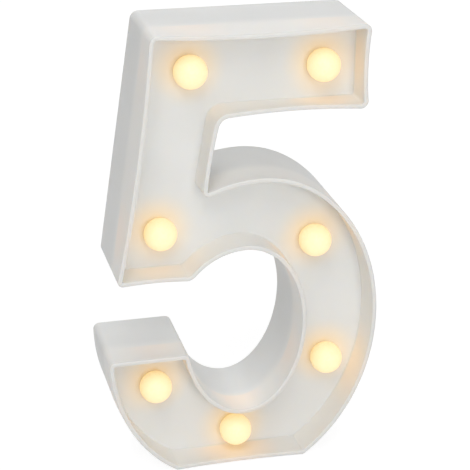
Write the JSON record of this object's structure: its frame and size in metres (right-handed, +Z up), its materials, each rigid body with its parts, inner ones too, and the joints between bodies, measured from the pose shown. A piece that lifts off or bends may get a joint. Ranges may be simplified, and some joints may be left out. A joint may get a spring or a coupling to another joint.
{
  "type": "light up marquee number",
  "caption": "Free-standing or wall-hung marquee number five with a deep open tray, frosted globe lamps, a battery bay and a switch at the back.",
  "frame": {"origin": "under the middle of the bounding box, on the surface that the number stands on", "axes": "+Z up, +X to the right as the number is read, +Y back, so the lamps face -Y"},
  "size_m": [0.132, 0.045, 0.22],
  "materials": {
    "shell": "satin white moulded plastic",
    "cover": "satin white moulded plastic",
    "globe": "frosted, lit warm white",
    "diode": "clear epoxy lens",
    "screw": "zinc plated",
    "contact": "nickel plated",
    "cell": "plain wrapped steel can",
    "switch_metal": "plated sheet",
    "slider": "black moulded plastic",
    "red_wire": "insulated wire",
    "black_wire": "insulated wire"
  },
  "bodies": {
    "number": {"front_housing": "shell", "rear_cover": "cover", "globe_arm_right": "globe", "diode_arm_right": "diode", "globe_arm_left": "globe", "diode_arm_left": "diode", "globe_block": "globe", "diode_block": "diode", "globe_bowl_upper": "globe", "diode_bowl_upper": "diode", "globe_bowl_lower": "globe", "diode_bowl_lower": "diode", "globe_foot": "globe", "diode_foot": "diode", "globe_tail": "globe", "diode_tail": "diode", "cover_screw_1": "screw", "cover_screw_2": "screw", "cover_screw_3": "screw", "cover_screw_4": "screw", "cover_screw_5": "screw", "cover_screw_6": "screw", "cover_screw_7": "screw", "cover_screw_8": "screw", "switch_body": "switch_metal", "switch_screw_left": "screw", "switch_screw_right": "screw", "dry_cell_low": "cell", "dry_cell_high": "cell", "contact_negative": "contact", "contact_positive": "contact", "contact_bridge": "contact", "lamp_string_positive": "red_wire", "lamp_string_negative": "black_wire", "lead_tab_to_switch": "red_wire", "lead_switch_to_lamps": "red_wire", "lead_tab_to_lamps": "black_wire"},
    "battery_door": {"battery_door": "cover"},
    "switch_slider": {"switch_slider": "slider"}
  },
  "joints": [
    {"name": "battery_door_hinge", "type": "hinge", "parent": "number", "child": "battery_door", "pos_m": [0.0135, 0.0225, 0.2156], "axis": [1, 0, 0], "range_deg": [0, 75]},
    {"name": "switch_slide", "type": "slide", "parent": "number", "child": "switch_slider", "axis": [1, 0, 0], "range_m": [-0.003, 0]}
  ]
}
